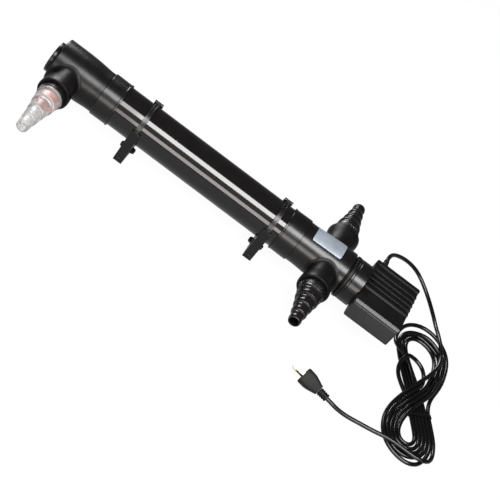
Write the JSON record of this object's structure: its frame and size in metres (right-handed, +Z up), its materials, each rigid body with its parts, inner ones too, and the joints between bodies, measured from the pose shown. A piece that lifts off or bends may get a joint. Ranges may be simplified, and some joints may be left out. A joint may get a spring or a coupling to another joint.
{
  "type": "uv clarifier",
  "caption": "In-line ultraviolet water clarifier: black pipe body with stepped hose tails, hinged pipe clips, end ballast box and mains cord.",
  "frame": {"origin": "under the middle of the object without its cord, on the surface that the clip feet stand on", "axes": "+X along the pipe from the head tee to the ballast box, +Z up; the head tee's port and the front port face -Y"},
  "size_m": [0.7659, 0.3499, 0.0917],
  "materials": {
    "gloss_black_pipe": "gloss",
    "satin_black_moulding": "satin",
    "matte_black_moulding": "matte",
    "clear_plastic": "frosted clear",
    "ballast_grey": "fine satin",
    "cover_black": "matte",
    "red_silicone": "satin",
    "black_rubber": "matte",
    "cord_black": "gloss",
    "plug_grey": "fine matte",
    "quartz": "clear",
    "white_plastic": "satin",
    "label_silver": "satin foil",
    "steel": "bright",
    "plug_metal": "bright",
    "board_green": "solder mask",
    "capacitor_blue": "sleeve",
    "lead_white": "wire sleeve"
  },
  "bodies": {
    "clarifier_body": {"main_tube": "gloss_black_pipe", "head_tee": "satin_black_moulding", "cross_tee": "satin_black_moulding", "left_collar": "satin_black_moulding", "right_collar": "satin_black_moulding", "blank_label": "label_silver", "quartz_sleeve": "quartz", "sleeve_support": "white_plastic", "sleeve_seal": "black_rubber", "left_clip_base": "satin_black_moulding", "right_clip_base": "satin_black_moulding", "left_clip_pin": "steel", "right_clip_pin": "steel"},
    "lamp_unit": {"lamp_adapter": "satin_black_moulding", "adapter_gasket": "black_rubber", "uv_lamp": "quartz", "lamp_base": "white_plastic", "lamp_socket": "white_plastic", "ballast_housing": "ballast_grey", "cover_gasket": "black_rubber", "ballast_cover": "cover_black", "cover_screw_1": "steel", "cover_screw_2": "steel", "cover_screw_3": "steel", "cover_screw_4": "steel", "circuit_board": "board_green", "choke": "steel", "capacitor": "capacitor_blue", "terminal_block": "white_plastic", "lamp_lead_1": "lead_white", "lamp_lead_2": "lead_white", "cable_gland": "matte_black_moulding", "gland_nut": "matte_black_moulding", "strain_relief": "black_rubber", "power_cord_run": "cord_black", "power_cord_lead": "cord_black", "cord_hank": "cord_black", "cord_tie": "black_rubber", "plug_relief": "black_rubber", "plug_body": "plug_grey", "plug_blade_1": "plug_metal", "plug_blade_2": "plug_metal"},
    "lock_ring": {"lock_ring": "satin_black_moulding"},
    "end_plug_travel": {"end_plug_seal": "black_rubber"},
    "end_plug": {"end_plug": "satin_black_moulding"},
    "left_strap": {"left_clip_strap": "satin_black_moulding"},
    "right_strap": {"right_clip_strap": "satin_black_moulding"},
    "left_tail": {"left_hose_tail": "clear_plastic", "left_tail_seal": "red_silicone"},
    "left_union": {"left_union_ring": "matte_black_moulding"},
    "front_tail": {"front_hose_tail": "matte_black_moulding", "front_tail_seal": "red_silicone"},
    "front_union": {"front_union_ring": "matte_black_moulding"},
    "rear_tail": {"rear_hose_tail": "matte_black_moulding", "rear_tail_seal": "red_silicone"},
    "rear_union": {"rear_union_ring": "matte_black_moulding"}
  },
  "joints": [
    {"name": "left_tail_travel", "type": "slide", "parent": "clarifier_body", "child": "left_tail", "axis": [0, -1, 0], "range_m": [0, 0.0091]},
    {"name": "left_union_turn", "type": "hinge", "parent": "left_tail", "child": "left_union", "pos_m": [-0.27175, -0.063, 0.055], "axis": [0, -1, 0], "range_deg": [0, 1080]},
    {"name": "front_tail_travel", "type": "slide", "parent": "clarifier_body", "child": "front_tail", "axis": [0, -1, 0], "range_m": [0, 0.0091]},
    {"name": "front_union_turn", "type": "hinge", "parent": "front_tail", "child": "front_union", "pos_m": [0.17485, -0.063, 0.055], "axis": [0, -1, 0], "range_deg": [0, 1080]},
    {"name": "rear_tail_travel", "type": "slide", "parent": "clarifier_body", "child": "rear_tail", "axis": [0, 1, 0], "range_m": [0, 0.0091]},
    {"name": "rear_union_turn", "type": "hinge", "parent": "rear_tail", "child": "rear_union", "pos_m": [0.17485, 0.077, 0.055], "axis": [0, 1, 0], "range_deg": [0, 1080]},
    {"name": "end_plug_travel", "type": "slide", "parent": "clarifier_body", "child": "end_plug_travel", "axis": [-1, 0, 0], "range_m": [0, 0.0091]},
    {"name": "end_plug_turn", "type": "hinge", "parent": "end_plug_travel", "child": "end_plug", "pos_m": [-0.30375, 0.007, 0.055], "axis": [-1, 0, 0], "range_deg": [0, 1080]},
    {"name": "left_strap_hinge", "type": "hinge", "parent": "clarifier_body", "child": "left_strap", "pos_m": [-0.14975, 0.02963, 0.08196], "axis": [-1, 0, 0], "range_deg": [0, 100]},
    {"name": "right_strap_hinge", "type": "hinge", "parent": "clarifier_body", "child": "right_strap", "pos_m": [0.07825, 0.02963, 0.08196], "axis": [-1, 0, 0], "range_deg": [0, 100]},
    {"name": "lamp_unit_slide", "type": "slide", "parent": "clarifier_body", "child": "lamp_unit", "axis": [1, 0, 0], "range_m": [0, 0.43]},
    {"name": "lock_ring_turn", "type": "hinge", "parent": "lamp_unit", "child": "lock_ring", "pos_m": [0.20725, 0.007, 0.055], "axis": [1, 0, 0], "range_deg": [0, 40]}
  ],
  "couplings": [
    {"joint": "left_tail_travel", "follows": "left_union_turn", "m_per_rad": 0.00047746},
    {"joint": "front_tail_travel", "follows": "front_union_turn", "m_per_rad": 0.00047746},
    {"joint": "rear_tail_travel", "follows": "rear_union_turn", "m_per_rad": 0.00047746},
    {"joint": "end_plug_travel", "follows": "end_plug_turn", "m_per_rad": 0.00047746}
  ]
}
